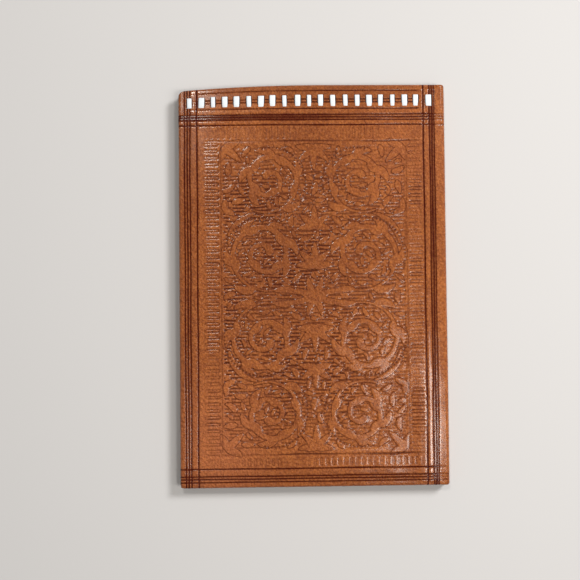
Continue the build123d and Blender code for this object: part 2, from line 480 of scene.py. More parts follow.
def lace_bed(x, side):
    """Height of the leather's face around a stitch, clear of the ruled lines that it covers."""
    x = np.asarray(x, float)
    y = LACE_Y + 0 * x
    return float(relief(x, y, side) + RULED_DEPTH * ruled(x, y, SEED[side] + RULED_SEED))


# -------- meshes
def make_mesh(name, points, faces, attributes=None, smooth=True):
    """A mesh object from points in mm, with named values at its points."""
    me = bpy.data.meshes.new(name)
    me.from_pydata((np.asarray(points, float) * MM).tolist(), [], faces)
    for key, values in (attributes or {}).items():
        values = np.asarray(values, np.float32)
        kind, field = ("FLOAT_VECTOR", "vector") if values.ndim == 2 else ("FLOAT", "value")
        me.attributes.new(key, kind, "POINT").data.foreach_set(field, values.ravel())
    me.polygons.foreach_set("use_smooth", [smooth] * len(me.polygons))
    me.update()
    ob = bpy.data.objects.new(name, me)
    bpy.context.scene.collection.objects.link(ob)
    return ob


def facing(faces, side):
    """Faces worked out for the front, turned over for the back."""
    return faces if side > 0 else [face[::-1] for face in faces]


def plan_at(u, v, third):
    """Places on the flat leather, with a third number that keeps the sheets' patterns apart."""
    return np.stack([u, v, np.full_like(u, third)], -1)


def grid_faces(idx, up):
    """Quads over a grid of point numbers, facing up or down."""
    a, b, c, d = idx[:-1, :-1], idx[1:, :-1], idx[1:, 1:], idx[:-1, 1:]
    return np.stack((a, b, c, d) if up else (a, d, c, b), -1).reshape(-1, 4)


class Skin:
    """A sheet that starts as a grid of points and grows by rings of points around the grid's edge.

    The edge runs along the bottom from the spine, up the fore edge and along the top to the spine.
    A closed one also runs down the spine side.
    """

    def __init__(self, points, plan, up, closed=False):
        nu, nv = points.shape[:2]
        idx = np.arange(nu * nv).reshape(nu, nv)
        sides = [idx[::-1, 0], idx[0, 1:-1], idx[:, -1]]
        if closed:
            sides.append(idx[-1, 1:-1][::-1])
        self.corners = np.cumsum([0] + [len(s) for s in sides])
        self.edge = self.last = np.concatenate(sides)
        self.grid, self.up, self.closed = idx, up, closed
        self.points, self.plan = [points.reshape(-1, 3)], [plan.reshape(-1, 3)]
        self.faces = [grid_faces(idx, up)]
        self.count = nu * nv

    def at_edge(self, *grids):
        return [grid.ravel()[self.edge] for grid in grids]

    def add_ring(self, points, plan):
        """Joins one more ring of points to the last one."""
        ring = self.count + np.arange(len(self.edge))
        last = self.last
        self.points.append(points)
        self.plan.append(plan)
        self.last, self.count = ring, self.count + len(ring)
        if self.closed:
            last, ring = np.append(last, last[0]), np.append(ring, ring[0])
        a, b, c, d = last[1:], ring[1:], ring[:-1], last[:-1]
        self.faces.append(np.stack((a, b, c, d) if self.up else (c, b, a, d), -1))

    def build(self, name, side, attributes=None):
        faces = facing(np.vstack(self.faces).tolist(), side)
        return make_mesh(name, np.vstack(self.points), faces, attributes or {"plan": np.vstack(self.plan)})


def steps(lo, hi, pitch, fine_at, fine):
    """Even steps from lo to hi, with finer ones around each of fine_at and at both ends."""
    base = list(np.linspace(lo, hi, int(round((hi - lo) / pitch)) + 1))
    extra = [at + f for at in fine_at for f in fine]
    extra += [end + inwards * f for end, inwards in ((lo, 1), (hi, -1)) for f in (0.2, 0.4, 0.7)]
    extra = sorted(e for e in extra if lo < e < hi)
    base = [b for b in base if b in (base[0], base[-1]) or min(abs(b - e) for e in extra) > 0.12]
    out = sorted(base + extra)
    return np.array([v for k, v in enumerate(out) if k == 0 or v - out[k - 1] > 0.05])


# -------- outer leather
def profile(u, depth):
    """Cross-section of the wrap: flat side, bend, spine. u runs on past FOLD_X along the bend and the
    spine. Returns x, z and the outward normal of a point at this depth under the front's outer face."""
    a = np.clip((u - FOLD_X) / FOLD_R, 0, math.pi / 2)
    down = np.clip(u - FOLD_X - BEND, 0, None)
    nx, nz = np.sin(a), np.cos(a)
    x = np.minimum(u, FOLD_X) + FOLD_R * nx
    z = THICK - FOLD_R + FOLD_R * nz - down
    return x - nx * depth, z - nz * depth, nx, nz


def leather_attributes(plan, seed):
    """What the tooled leather's material reads at each point of the skin."""
    x, y = plan[:, 0], plan[:, 1]
    outer = plan[:, 2] < HEM_PLAN
    leaf, phase, amount, marks = tooling(x, y, seed)
    # Rubbed glossy along the spine and at the laced fore-edge corner.
    spine_gloss = smoothstep(38.0, 39.6, x) * (1 - smoothstep(45.6, 47.2, x))
    spine_gloss = spine_gloss * (0.25 + 0.75 * smoothstep(-15, -50, y))
    corner_gloss = 0.6 * smoothstep(-30, -42, x) * smoothstep(20, 50, y)
    # Painted shade darkens the middle and wear darkens the edges; painted sheen lightens two corners.
    from_edge = np.minimum(x - LEFT, np.minimum(TOP - y, y - BOTTOM))
    edge_wear = 0.75 * (1 - smoothstep(4.5, 8.5, from_edge)) * (1 - smoothstep(36, 44, x))
    shade_and_edge_wear = np.maximum(spot(x, y, -10, 16, 25, 40), edge_wear)
    painted_sheen = np.maximum(spot(x, y, -35, -58, 15, 22), 0.45 * spot(x, y, 34, 50, 15, 22))
    return {
        "plan": plan + (0, 0, seed),
        "shade_and_edge_wear": shade_and_edge_wear * outer,
        "painted_sheen": painted_sheen * outer,
        "rubbed": np.maximum(spine_gloss, corner_gloss) * outer,
        "leaf": np.clip(leaf, -2, 3),
        "hatch": phase,
        "hatch_amount": amount * outer,
        "marks": marks * outer,
        "lines": ruled(x, y, seed + RULED_SEED) * outer,
    }


def wrap_leather(name, side, x_pitch, y_pitch):
    """One side of the outer leather with half of the spine: tooled face, wrapped edges, turned-in hem."""
    bend_end = FOLD_X + BEND
    end_u = bend_end + THICK - FOLD_R - MIDDLE
    flat_us = steps(LEFT + EDGE_R, FOLD_X, x_pitch, [a for a, _, _ in UPRIGHT],
                    (-0.42, -0.26, -0.09, 0.09, 0.26, 0.42))
    bend_us = FOLD_X + BEND * np.linspace(0, 1, 10)[1:]
    spine_us = np.linspace(bend_end, end_u, 7)[1:]
    us = np.concatenate([flat_us, bend_us, spine_us])
    vs = steps(BOTTOM + EDGE_R, TOP - EDGE_R, y_pitch, [a for a, _, _ in LEVEL + THIN],
               (-0.36, -0.12, 0.12, 0.36))
    U, V = np.meshgrid(us, vs, indexing="ij")
    x0, z0, nx, nz = profile(U, 0)
    h = relief(U, V, side) * (1 - smoothstep(FOLD_X, end_u, U))
    fade = smoothstep(0, 1.2, V - vs[0]) * smoothstep(0, 1.2, vs[-1] - V) * smoothstep(0, 1.2, U - us[0])
    h = h * np.where(h > 0, fade, 1)
    face = place(side, x0 + nx * h, V, z0 + nz * h)
    skin = Skin(face, plan_at(U, V, 0), up=True)

    # Which way the leather turns over at each point of the edge, rounding the fore edge's corners.
    edge_u, edge_v, edge_h = skin.at_edge(U, V, h)
    on_fore = np.zeros(len(skin.edge), bool)
    on_fore[skin.corners[1]:skin.corners[2]] = True
    near_u = np.clip(1 - (edge_u - us[0]) / CORNER_TURN, 0, 1)
    near_v = np.clip(1 - np.minimum(edge_v - vs[0], vs[-1] - edge_v) / CORNER_TURN, 0, 1)
    angle = np.where(on_fore, math.pi / 2 - math.pi / 4 * near_v, math.pi / 4 * near_u)
    vertical = np.where(edge_v > 0, 1.0, -1.0)
    du, dv = -np.sin(angle), np.cos(angle) * vertical
    depth = HEM_D + (SPINE_HEM_D - HEM_D) * smoothstep(FOLD_X - 3.0, FOLD_X, edge_u)
    edge_x, edge_z, edge_nx, edge_nz = profile(edge_u, 0)
    for phi in np.radians([20, 40, 60, 80, 100, 122, 150, 180]):
        out = EDGE_R * math.sin(phi)
        down = depth / 2 * (1 - math.cos(phi)) - edge_h * (1 + math.cos(phi)) / 2
        ring = place(side, edge_x - edge_nx * down + du * out, edge_v + dv * out, edge_z - edge_nz * down)
        arc = EDGE_R * phi
        skin.add_ring(ring, plan_at(edge_u + du * arc, edge_v + dv * arc, 0))

    # The hem runs back inwards on the inner side and ends in a pared edge.
    hem_u0, hem_v1 = LEFT + HEM_W, TOP - HEM_W
    hem_u = hem_u0 + (edge_u - us[0]) * (FOLD_X - hem_u0) / (FOLD_X - us[0])
    hem_u = np.where(on_fore, hem_u0, np.where(edge_u < FOLD_X, hem_u, edge_u))
    hem_v = np.where(on_fore, edge_v * hem_v1 / vs[-1], hem_v1 * vertical)
    for t, sink in ((0.3, 0.0), (0.75, 0.0), (0.985, 0.03), (1.0, 0.12), (1.0, HEM_T)):
        u, v = edge_u + (hem_u - edge_u) * t, edge_v + (hem_v - edge_v) * t
        x, z, _, _ = profile(u, depth - sink)
        skin.add_ring(place(side, x, v, z), plan_at(u, v, HEM_PLAN))
    # The leather's inner face, from the bottom hem to the top hem.
    low, high = skin.last[:len(us)], skin.last[skin.corners[2]:][::-1]
    skin.faces.append(np.stack([low[:-1], low[1:], high[1:], high[:-1]], -1))
    return skin.build(name, side, leather_attributes(np.vstack(skin.plan), SEED[side]))


front = wrap_leather("front_leather_skin", 1, 0.44, 0.28)
back = wrap_leather("back_leather_skin", -1, 0.60, 0.36)


# -------- lace
BAND_HALF_T = 0.17
# The band's section: mm across its width, and half thicknesses through it.
BAND_UPPER = [(-2.14, 0.0), (-2.09, 0.72), (-1.95, 1.0), (-0.7, 1.08), (0.7, 1.08), (1.95, 1.0), (2.09, 0.72)]
BAND_LOWER = [(2.14, 0.0), (2.09, -0.72), (1.95, -1.0), (-1.95, -1.0), (-2.09, -0.72)]
LACE_TAIL = 2.2
SLIT_HALF_LENGTH = 2.35


def lace_stitches(seed):
    """Centre, length, height offset and tilt of each visible stitch: laced by hand, so none is quite even."""
    r = np.random.default_rng(seed)
    x = FIRST_STITCH + STITCH_PITCH * np.arange(STITCH_COUNT) + r.uniform(-0.25, 0.25, STITCH_COUNT)
    length = r.uniform(1.8, 2.6, STITCH_COUNT)
    offset = r.uniform(-0.10, 0.10, STITCH_COUNT)
    tilt = r.uniform(-0.035, 0.035, STITCH_COUNT)
    return list(zip(x, length, offset, tilt))


def lace_path(side, stitches):
    """The band's middle line: rows of x, z, offset along Y and tilt."""
    over = THICK + 0.02 - BAND_HALF_T
    under = THICK - LEATHER_T - 0.05 - BAND_HALF_T
    path = []
    for k, (x, length, offset, tilt) in enumerate(stitches):
        half = length / 2
        level = over + lace_bed(x, side)
        # From the stitch's middle to the slit: a low arch, a round shoulder, and down through the slit.
        right = [(0.6, level + 0.05), (0.84, level - 0.03), (0.95, level - 0.16),
                 (0.985, (level + under) / 2), (1.0, under + 0.05)]
        left = [(-f, z) for f, z in reversed(right)]
        path += [(x + f * (half - 0.05), z, offset, tilt) for f, z in left + [(0.0, level + 0.07)] + right]
        if k < len(stitches) - 1:
            next_x, next_length, next_offset, _ = stitches[k + 1]
            gap = next_x - next_length / 2 - x - half
            path += [(x + half + f * gap, under, (offset + next_offset) / 2, 0) for f in (0.2, 0.5, 0.8)]
    last_x, last_length, last_offset, _ = stitches[-1]
    path.append((last_x + last_length / 2 + LACE_TAIL, under, last_offset, 0))
    return np.array(path)


def lace(name, side, seed):
    """The flat band as one piece: over each stitch, down its slits and along under the leather."""
    path = lace_path(side, lace_stitches(seed))
    tangent = np.gradient(path[:, :2], axis=0)
    tangent /= np.linalg.norm(tangent, axis=1)[:, None]
    normal = np.stack([-tangent[:, 1], tangent[:, 0]], -1)
    section = BAND_UPPER + BAND_LOWER
    points, plan = [], []
    for (x, z, offset, tilt), (nx, nz) in zip(path, normal):
        for w, t in section:
            out = t * BAND_HALF_T
            points.append((x + nx * out - tilt * w, LACE_Y + offset + w, z + nz * out))
            plan.append((x, w, seed))
    m = len(section)
    faces = [(k * m + j, (k + 1) * m + j, (k + 1) * m + (j + 1) % m, k * m + (j + 1) % m)
             for k in range(len(path) - 1) for j in range(m)]
    faces += [tuple(range(m)), tuple(range((len(path) - 1) * m, len(path) * m))[::-1]]
    x, y, z = np.array(points).T
    return make_mesh(name, place(side, x, y, z), facing(faces, side), {"plan": np.array(plan)})


def slits(name, side, seed):
    """Painted shadow at both ends of each stitch, where the band goes down its slits: narrow dark strips just
    proud of the leather.
    """
    points, faces = [], []
    along = np.linspace(-SLIT_HALF_LENGTH, SLIT_HALF_LENGTH, 9)
    section = ((-1, 0.012), (-0.6, 0.0096), (0, 0.012), (0.6, 0.0096), (1, 0.012))
    n = len(section)
    for x, length, offset, tilt in lace_stitches(seed):
        for end in (-1, 1):
            start = len(points)
            for a in along:
                half_width = 0.20 * math.sqrt(1 - (a / (SLIT_HALF_LENGTH + 0.01)) ** 2) + 0.01
                cx = x + end * (length / 2 - 0.02) - tilt * a
                level = lace_bed(cx, side) + THICK
                points += [(cx + f * half_width, LACE_Y + offset + a, level + z) for f, z in section]
            grid = start + np.arange(len(along) * n).reshape(len(along), n)
            faces += grid_faces(grid, up=True)[:, ::-1].tolist()
    x, y, z = np.array(points).T
    return make_mesh(name, place(side, x, y, z), facing(faces, side))


front_lace = lace("front_lace_band", 1, 5)
back_lace = lace("back_lace_band", -1, 6)
front_slit_shadows = slits("front_lace_slit_shadows", 1, 5)
back_slit_shadows = slits("back_lace_slit_shadows", -1, 6)


# -------- lining
LINING_IN = 2.0
LINING_BEND_R = 1.0
LINING_FLAT_TO = 46.0
# Depth of the lining's visible face under the side and inside the spine, between and over the hems.
LINING_D, LINING_SPINE_D = 1.7, 1.2
LINING_HEM_D, LINING_SPINE_HEM_D = 2.2, 1.7


def lining_profile(u, side_depth, spine_depth):
    """Cross-section of the lining's visible face: x and z at the run u along it."""
    r = LINING_BEND_R
    bend_x, bend_z = RIGHT - spine_depth - r, THICK - side_depth - r
    a = np.clip((u - bend_x) / r, 0, math.pi / 2)
    down = np.clip(u - bend_x - r * math.pi / 2, 0, None)
    return np.minimum(u, bend_x) + r * np.sin(a), bend_z + r * np.cos(a) - down


def lining(name, side):
    """One side of the lining with half of the spine: a thin sheet that steps up over the hem."""
    lo_x, hi_y = LEFT + LINING_IN, TOP - LINING_IN
    step_x, step_y = LEFT + HEM_W, TOP - HEM_W
    bend_x = RIGHT - LINING_SPINE_D - LINING_BEND_R
    bend_z = THICK - LINING_D - LINING_BEND_R
    end = bend_x + LINING_BEND_R * math.pi / 2 + bend_z - MIDDLE
    us = np.concatenate([
        np.linspace(lo_x, step_x - 0.6, 8),
        np.linspace(step_x - 0.3, step_x + 0.5, 6),
        np.linspace(step_x + 1.5, LINING_FLAT_TO, 60),
        np.linspace(LINING_FLAT_TO + 0.2, end, 22),
    ])
    vs = np.concatenate([
        np.linspace(-hi_y, -step_y - 0.5, 8),
        np.linspace(-step_y - 0.3, -step_y + 0.6, 6),
        np.linspace(-step_y + 1.6, step_y - 1.6, 110),
        np.linspace(step_y - 0.6, step_y + 0.3, 6),
        np.linspace(step_y + 0.5, hi_y, 8),
    ])
    U, V = np.meshgrid(us, vs, indexing="ij")
    over_fore_hem = 1 - smoothstep(step_x - 0.25, step_x + 0.45, U)
    over_end_hems = smoothstep(step_y - 0.45, step_y + 0.25, np.abs(V))
    raised = np.maximum(over_fore_hem, over_end_hems)
    x_low, z_low = lining_profile(U, LINING_D, LINING_SPINE_D)
    x_high, z_high = lining_profile(U, LINING_HEM_D, LINING_SPINE_HEM_D)
    ripple = 0.05 * (patchy(U, V, 77, 24) - 0.5) * (U < LINING_FLAT_TO)
    X = x_low + (x_high - x_low) * raised
    Z = z_low + (z_high - z_low) * raised - ripple
    Z[-1, :] = MIDDLE
    skin = Skin(place(side, X, V, Z), plan_at(U, V, HEM_PLAN), up=False)

    # The cut edge: which way it faces, and the normal into the sheet at each point of it.
    nu, nv = U.shape
    slope = np.stack([np.gradient(X[:, nv // 2]), np.gradient(Z[:, nv // 2])], -1)
    slope /= np.linalg.norm(slope, axis=1)[:, None]
    row = skin.edge // nv
    inward_x, inward_z = -slope[row, 1], slope[row, 0]
    away = np.zeros((len(skin.edge), 2))
    _, a, b, _ = skin.corners
    away[:a, 1], away[a:b, 0], away[b:, 1] = -1, -1, 1
    edge_x, edge_y, edge_z = skin.at_edge(X, V, Z)
    for out, deep in ((0.10, 0.03), (0.15, 0.15), (0.10, 0.27), (0.0, 0.29)):
        x = edge_x + away[:, 0] * out + inward_x * deep
        y = edge_y + away[:, 1] * out
        skin.add_ring(place(side, x, y, edge_z + inward_z * deep), plan_at(x, y, HEM_PLAN))
    return skin.build(name, side)


front_lining = lining("front_lining_sheet", 1)
back_lining = lining("back_lining_sheet", -1)


# -------- pockets
POCKET_IN = 2.2
POCKET_W = 58.0
POCKET_T = 0.5
POCKET_EDGE_R = 0.24
# Depth of the pocket's visible face and of the lining that it is joined to.
POCKET_D, POCKET_SEAT_D = 2.95, 2.2
CREASE_FROM_MOUTH = 1.9
SEAM_FROM_EDGE = 2.0
MOUTH_CURVE = 2.6


def pocket(name, side, seed):
    """A soft leather flap over a thin slot: joined on three edges, with a creased mouth near the spine."""
    x0, x1 = LEFT + POCKET_IN, LEFT + POCKET_IN + POCKET_W
    y1 = TOP - POCKET_IN
    r = POCKET_EDGE_R
    crease_x = x1 - CREASE_FROM_MOUTH
    us = np.unique(np.concatenate([
        np.linspace(x0 + r, x1 - r, 80),
        [x0 + r + 0.2, x0 + r + 0.5, x1 - r - 0.2, x1 - r - 0.5],
        crease_x + np.linspace(-0.4, 0.4, 7),
    ]))
    vs = np.unique(np.concatenate([
        np.linspace(-y1 + r, y1 - r, 170),
        [-y1 + r + 0.2, -y1 + r + 0.5, y1 - r - 0.2, y1 - r - 0.5],
    ]))
    U, V = np.meshgrid(us, vs, indexing="ij")
    X = U - MOUTH_CURVE * (1 - (V / y1) ** 2).clip(0) * smoothstep(x1 - 30, x1, U)
    crease = pressed(np.abs(U - crease_x), 0.10, 0.34) * smoothstep(y1 - 1.0, y1 - 2.6, np.abs(V))
    from_edge = np.minimum(U - x0, y1 - np.abs(V))
    seam = pressed(np.abs(from_edge - SEAM_FROM_EDGE), 0.12, 0.4) * (U < x1 - 1.0)
    soft = 0.05 * (patchy(U, V, seed, 26) - 0.5)
    Z = THICK - POCKET_D - (-0.20 * crease - 0.12 * seam + soft)
    plan = plan_at(U, V, seed)
    skin = Skin(place(side, X, V, Z), plan, up=False, closed=True)

    # The rounded edge: down to the lining on three sides, and under the flap itself at the mouth.
    edge_u, edge_v, edge_x, edge_z = skin.at_edge(U, V, X, Z)
    away = np.zeros((len(skin.edge), 2))
    _, a, b, c, _ = skin.corners
    away[:a, 1], away[a:b, 0], away[b:c, 1], away[c:, 0] = -1, -1, 1, 1
    for k in (0, a - 1, b, c - 1):
        away[k] = np.sign(edge_u[k] - (x0 + x1) / 2) * 0.71, np.sign(edge_v[k]) * 0.71
    drop = np.full(len(skin.edge), POCKET_D - POCKET_SEAT_D)
    drop[c:] = POCKET_T
    for phi in np.radians([30, 60, 90, 120, 150, 180]):
        x = edge_x + away[:, 0] * r * math.sin(phi)
        y = edge_v + away[:, 1] * r * math.sin(phi)
        z = edge_z + drop / 2 * (1 - math.cos(phi))
        skin.add_ring(place(side, x, y, z), plan_at(x, y, seed))
    # The flap's hidden side, over the slot.
    skin.points.append(place(side, X, V, np.full_like(U, THICK - POCKET_D + POCKET_T)).reshape(-1, 3))
    skin.plan.append(plan.reshape(-1, 3))
    skin.faces.append(grid_faces(skin.grid + skin.count, up=True))
    return skin.build(name, side)


front_pocket = pocket("front_pocket_flap", 1, 51)
back_pocket = pocket("back_pocket_flap", -1, 52)


# -------- materials
# The tooled leather's colours: two broad tones, then what lies over them.
TAN_DEEP, TAN_LIGHT = (0.362, 0.099, 0.0168), (0.458, 0.134, 0.0250)
CLOUD_TAN = (0.262, 0.062, 0.0085)
GRAIN_DARK, GRAIN_LIGHT = (0.150, 0.028, 0.0034), (0.560, 0.205, 0.052)
# Painted shade for the middle, also used for the wear along the edges.
SHADE_AND_WEAR_TAN = (0.175, 0.040, 0.0050)
# Painted sheen for two corners.
SHEEN_TAN = (0.62, 0.20, 0.08)
PORE_BROWN = (0.115, 0.020, 0.0030)
# The pressed leather's own darkening, deepened with painted shade in the grooves.
PRESSED_AND_SHADED_BROWN = (0.080, 0.0115, 0.0026)
# Dark red of the ruled lines, deepened with painted shade in their grooves.
RULED_DYE_AND_SHADE = (0.052, 0.0024, 0.0020)
LINING_LIGHT, LINING_DARK = (0.44, 0.23, 0.105), (0.36, 0.17, 0.07)
POCKET_LIGHT, POCKET_DARK = (0.36, 0.135, 0.048), (0.27, 0.092, 0.030)
LACE_WHITE, LACE_GREY, LACE_STAIN = (0.76, 0.83, 0.88), (0.62, 0.69, 0.75), (0.62, 0.55, 0.46)
# Painted shadow inside the lace's slits.
SLIT_SHADOW_DARK, SLIT_SHADOW_LIGHT = (0.030, 0.010, 0.006), (0.075, 0.024, 0.012)
BOARD_LIGHT, BOARD_DARK = (0.30, 0.25, 0.18), (0.20, 0.165, 0.12)


class Material:
    """A node material: a Principled shader, and short names for the few nodes that feed it.

    Texture coordinates are the plan attribute, in mm on the flat leather.
    """

    def __init__(self, name):
        self.mat = bpy.data.materials.new(name)
        self.mat.use_nodes = True
        self.nt = self.mat.node_tree
        self.nt.nodes.clear()
        out = self.nt.nodes.new("ShaderNodeOutputMaterial")
        self.bsdf = self.nt.nodes.new("ShaderNodeBsdfPrincipled")
        self.link(self.bsdf.outputs[0], out.inputs["Surface"])

    def link(self, a, b):
        self.nt.links.new(a, b)

    def feed(self, socket, value):
        """Links a value to one of the shader's sockets."""
        self.link(value, self.bsdf.inputs[socket])

    def attr(self, name, vector=False):
        n = self.nt.nodes.new("ShaderNodeAttribute")
        n.attribute_type = "GEOMETRY"
        n.attribute_name = name
        return n.outputs["Vector" if vector else "Fac"]

    def object_place(self):
        return self.nt.nodes.new("ShaderNodeTexCoord").outputs["Object"]

    def noise(self, vec, scale, detail=3.0, rough=0.5):
        n = self.nt.nodes.new("ShaderNodeTexNoise")
        n.inputs["Scale"].default_value = scale
        n.inputs["Detail"].default_value = detail
        n.inputs["Roughness"].default_value = rough
        self.link(vec, n.inputs["Vector"])
        return n.outputs["Fac"]

    def voronoi(self, vec, scale, feature="F1", rand=1.0):
        n = self.nt.nodes.new("ShaderNodeTexVoronoi")
        n.feature = feature
        n.inputs["Scale"].default_value = scale
        n.inputs["Randomness"].default_value = rand
        self.link(vec, n.inputs["Vector"])
        return n.outputs["Distance"]

    def stretch(self, vec, sx, sy):
        n = self.nt.nodes.new("ShaderNodeVectorMath")
        n.operation = "MULTIPLY"
        self.link(vec, n.inputs[0])
        n.inputs[1].default_value = (sx, sy, 1.0)
        return n.outputs[0]

    def math(self, op, a, b=None):
        n = self.nt.nodes.new("ShaderNodeMath")
        n.operation = op
        for k, v in enumerate((a, b)):
            if isinstance(v, (int, float)):
                n.inputs[k].default_value = v
            elif v is not None:
                self.link(v, n.inputs[k])
        return n.outputs[0]

    def times(self, a, b):
        return self.math("MULTIPLY", a, b)

    def plus(self, a, b):
        return self.math("ADD", a, b)

    def most(self, a, b):
        return self.math("MAXIMUM", a, b)

    def span(self, v, lo, hi, out_lo=0.0, out_hi=1.0):
        """Eases from out_lo to out_hi while v goes from lo to hi."""
        n = self.nt.nodes.new("ShaderNodeMapRange")
        n.interpolation_type = "SMOOTHSTEP"
        self.link(v, n.inputs["Value"])
        for key, val in (("From Min", lo), ("From Max", hi), ("To Min", out_lo), ("To Max", out_hi)):
            n.inputs[key].default_value = val
        return n.outputs["Result"]

    def mix(self, fac, a, b):
        """Colour a, with as much of colour b over it as fac says."""
        n = self.nt.nodes.new("ShaderNodeMix")
        n.data_type = "RGBA"
        n.clamp_factor = True
        self.link(fac, n.inputs[0])
        for key, v in ((6, a), (7, b)):
            if isinstance(v, tuple):
                n.inputs[key].default_value = (*v, 1.0)
            else:
                self.link(v, n.inputs[key])
        return n.outputs[2]

    def bump(self, height, strength, distance):
        n = self.nt.nodes.new("ShaderNodeBump")
        n.inputs["Strength"].default_value = strength
        n.inputs["Distance"].default_value = distance
        self.link(height, n.inputs["Height"])
        self.feed("Normal", n.outputs["Normal"])


def leather_press(m, plan):
    """How deeply the tools have marked the leather: hatching, leaf outlines and border marks."""
    leaf = m.attr("leaf")
    wave = m.math("COSINE", m.times(m.attr("hatch"), 2 * math.pi))
    stripe = m.span(wave, -0.35, 0.55)
    ground = m.span(m.plus(leaf, m.times(wave, 0.22)), 0.12, 0.32)
    hatch = m.times(m.times(stripe, ground), m.attr("hatch_amount"))
    pearls = m.span(m.voronoi(plan, 1.05, rand=0.55), 0.22, 0.48, 1.0, 0.62)
    off_outline = m.math("ABSOLUTE", m.math("SUBTRACT", leaf, 0.15))
    outline = m.times(m.span(off_outline, 0.09, 0.29, 1.0, 0.0), pearls)
    return m.most(m.most(hatch, outline), m.attr("marks"))


def leather_tone(m, plan, fine, press, ruled_dye_and_shade):
    """The leather's colour, from the broad tones to the ruled lines' dark red with their painted groove
    shade.
    """
    broad = m.noise(plan, 0.045, 4.0, 0.6)
    cloud = m.noise(plan, 0.22, 3.0, 0.55)
    pores = m.voronoi(plan, 2.0)
    tone = m.mix(m.span(broad, 0.32, 0.70), TAN_DEEP, TAN_LIGHT)
    tone = m.mix(m.span(cloud, 0.35, 0.72, 0.0, 0.50), tone, CLOUD_TAN)
    tone = m.mix(m.span(fine, 0.46, 0.64, 0.0, 0.46), tone, GRAIN_DARK)
    tone = m.mix(m.span(fine, 0.46, 0.33, 0.0, 0.38), tone, GRAIN_LIGHT)
    # Painted shade in the middle, and wear along the edges.
    tone = m.mix(m.times(m.attr("shade_and_edge_wear"), 0.42), tone, SHADE_AND_WEAR_TAN)
    # Painted sheen that lightens two corners.
    tone = m.mix(m.times(m.attr("painted_sheen"), 0.35), tone, SHEEN_TAN)
    tone = m.mix(m.span(pores, 0.05, 0.30, 0.60, 0.0), tone, PORE_BROWN)
    # Darker where the tools pressed: the leather's own darkening with painted shade in the grooves.
    tone = m.mix(m.times(press, 0.96), tone, PRESSED_AND_SHADED_BROWN)
    # The ruled lines: dyed dark red, with painted shade in their grooves.
    return m.mix(ruled_dye_and_shade, tone, RULED_DYE_AND_SHADE)


def leather_height(m, plan, press, lines, rubbed):
    """The grain and the floor of the tool marks, in mm."""
    pebble = m.voronoi(plan, 1.35, "SMOOTH_F1")
    small = m.voronoi(plan, 2.6)
    grain = m.noise(plan, 2.6, 4.0, 0.65)
    cracks = m.voronoi(m.stretch(plan, 1.0, 0.8), 0.8, "DISTANCE_TO_EDGE")
    h = m.plus(m.times(pebble, -0.52), m.times(grain, 0.52))
    h = m.plus(h, m.times(small, -0.09))
    h = m.plus(h, m.span(cracks, 0.0, 0.12, -0.05, 0.0))
    h = m.times(h, m.span(rubbed, 0.0, 1.0, 1.0, 0.95))
    h = m.plus(h, m.times(press, -0.08))
    return m.plus(h, m.times(lines, -0.06))


def tooled_leather(name):
    """Pebbled vegetable-tanned leather, dark where it is tooled or ruled (the pressed leather's own darkening
    with painted shade in the grooves), with painted shade in the middle and painted sheen in two corners,
    glossy where it is rubbed.
    """
    m = Material(name)
    plan, lines, rubbed = m.attr("plan", True), m.attr("lines"), m.attr("rubbed")
    press = leather_press(m, plan)
    fine = m.noise(plan, 1.15, 2.5, 0.55)
    flecks = m.noise(plan, 3.1, 2.0, 0.5)
    ruled_dye_and_shade = m.times(lines, m.span(flecks, 0.28, 0.46, 0.70, 1.0))
    dull = m.math("SUBTRACT", 1.0, m.times(m.most(ruled_dye_and_shade, m.times(press, 0.6)), 0.9))
    m.feed("Base Color", leather_tone(m, plan, fine, press, ruled_dye_and_shade))
    m.feed("Roughness", m.plus(m.span(fine, 0.3, 0.75, 0.34, 0.50), m.times(press, 0.15)))
    m.feed("Specular IOR Level", m.times(dull, 0.30))
    m.feed("Coat Weight", m.times(dull, m.span(rubbed, 0.0, 1.0, 0.34, 1.0)))
    m.bsdf.inputs["Coat Roughness"].default_value = 0.16
    m.bump(leather_height(m, plan, press, lines, rubbed), 1.0, MM)
    return m.mat


def plain_leather(name, light, dark, smoothest, roughest, scale, strength):
    """Thin lining leather: fine hair-cell grain with soft colour clouds and rubbed patches."""
    m = Material(name)
    plan = m.attr("plan", True)
    broad = m.noise(plan, 0.05, 4.0, 0.6)
    fine = m.noise(plan, 1.2, 4.0, 0.6)
    pores = m.voronoi(m.stretch(plan, 1.0, 1.4), scale * 1.4)
    tone = m.mix(m.span(broad, 0.3, 0.72), light, dark)
    tone = m.mix(m.span(fine, 0.45, 0.8, 0.0, 0.35), tone, tuple(c * 0.7 for c in dark))
    tone = m.mix(m.span(pores, 0.04, 0.22, 0.35, 0.0), tone, tuple(c * 0.55 for c in dark))
    m.feed("Base Color", tone)
    m.feed("Roughness", m.span(fine, 0.3, 0.75, smoothest, roughest))
    cells = m.voronoi(plan, scale, "SMOOTH_F1")
    grain = m.noise(plan, scale * 2.6, 3.0, 0.6)
    m.bump(m.plus(m.times(cells, -0.7), m.times(grain, 0.5)), strength, 0.1 * MM)
    return m.mat


def white_lace(name):
    """Painted leather band: faint streaks along it and a few worn stains."""
    m = Material(name)
    plan = m.attr("plan", True)
    streak = m.noise(m.stretch(plan, 0.8, 7.0), 1.0, 3.0, 0.6)
    spots = m.noise(plan, 1.4, 3.0, 0.6)
    tone = m.mix(m.span(streak, 0.35, 0.7), LACE_WHITE, LACE_GREY)
    tone = m.mix(m.span(spots, 0.62, 0.85, 0.0, 0.35), tone, LACE_STAIN)
    m.feed("Base Color", tone)
    m.feed("Roughness", m.span(spots, 0.3, 0.8, 0.32, 0.5))
    m.bump(streak, 0.35, 0.06 * MM)
    return m.mat


